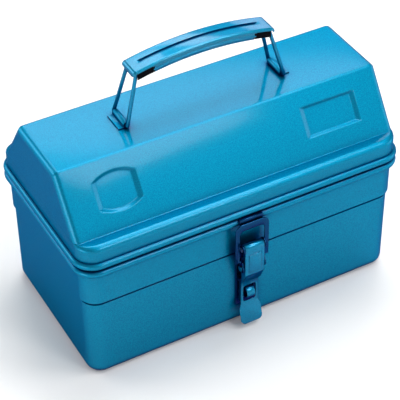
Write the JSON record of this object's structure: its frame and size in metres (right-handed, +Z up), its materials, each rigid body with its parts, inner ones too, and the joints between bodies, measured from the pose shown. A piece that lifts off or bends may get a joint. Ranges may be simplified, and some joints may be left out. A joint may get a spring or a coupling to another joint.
{
  "type": "portable tool box",
  "caption": "Small portable tool box of pressed sheet steel with a hip-roof lid, an over-centre front latch, a folding wire handle with a sheet grip and a lift-out tray.",
  "frame": {"origin": "middle of the flat bottom that the box stands on", "axes": "+X to the right along the box, +Y to the back where the hinges are, +Z up"},
  "size_m": [0.283, 0.1694, 0.2296],
  "materials": {
    "paint": "glossy metallic blue",
    "dark_grip_clip": "black",
    "bright_steel": "bright"
  },
  "bodies": {
    "base": {"base_tub": "paint", "left_hinge_tub_leaf": "paint", "right_hinge_tub_leaf": "paint", "left_hinge_pin": "bright_steel", "right_hinge_pin": "bright_steel", "tub_leaf_rivets": "paint", "latch_bracket": "paint", "bracket_rivets": "paint", "lever_pin": "bright_steel", "padlock_staple": "paint"},
    "lid": {"lid_shell": "paint", "left_hinge_lid_leaf": "paint", "right_hinge_lid_leaf": "paint", "lid_leaf_rivets": "paint", "lid_keeper": "paint", "left_loop_bracket": "paint", "right_loop_bracket": "paint"},
    "lever": {"latch_lever": "paint", "bail_rivets": "paint"},
    "bail": {"latch_bail": "paint"},
    "left_loop": {"left_wire_loop": "paint"},
    "right_loop": {"right_wire_loop": "paint"},
    "grip": {"grip_cover": "paint", "grip_channel": "paint", "left_grip_clip": "dark_grip_clip", "right_grip_clip": "dark_grip_clip"},
    "tray": {"inner_tray": "paint", "tray_strap": "paint", "strap_rivets": "bright_steel"}
  },
  "joints": [
    {"name": "lid_hinge", "type": "hinge", "parent": "base", "child": "lid", "pos_m": [0, 0.08065, 0.1119], "axis": [-1, 0, 0], "range_deg": [0, 100]},
    {"name": "latch_lever", "type": "hinge", "parent": "base", "child": "lever", "pos_m": [0, -0.08215, 0.0855], "axis": [-1, 0, 0], "range_deg": [0, 150]},
    {"name": "latch_bail", "type": "hinge", "parent": "lever", "child": "bail", "pos_m": [0, -0.08165, 0.066], "axis": [-1, 0, 0], "range_deg": [-166, 1]},
    {"name": "handle_rock", "type": "hinge", "parent": "lid", "child": "left_loop", "pos_m": [-0.0675, 0, 0.17916], "axis": [0, 1, 0], "range_deg": [-12, 12]},
    {"name": "grip_pivot", "type": "hinge", "parent": "left_loop", "child": "grip", "pos_m": [-0.0565, 0, 0.21966], "axis": [0, 1, 0], "range_deg": [-15, 15]},
    {"name": "right_loop", "type": "hinge", "parent": "lid", "child": "right_loop", "pos_m": [0.0675, 0, 0.17916], "axis": [0, 1, 0], "range_deg": [-12.5, 12.5]},
    {"name": "tray_lift", "type": "slide", "parent": "base", "child": "tray", "axis": [0, 0, 1], "range_m": [0, 0.03]}
  ],
  "couplings": [
    {"joint": "latch_bail", "follows": "latch_lever", "ratio": -1.1},
    {"joint": "grip_pivot", "follows": "handle_rock", "ratio": -1.193},
    {"joint": "right_loop", "follows": "handle_rock", "ratio": 1}
  ]
}
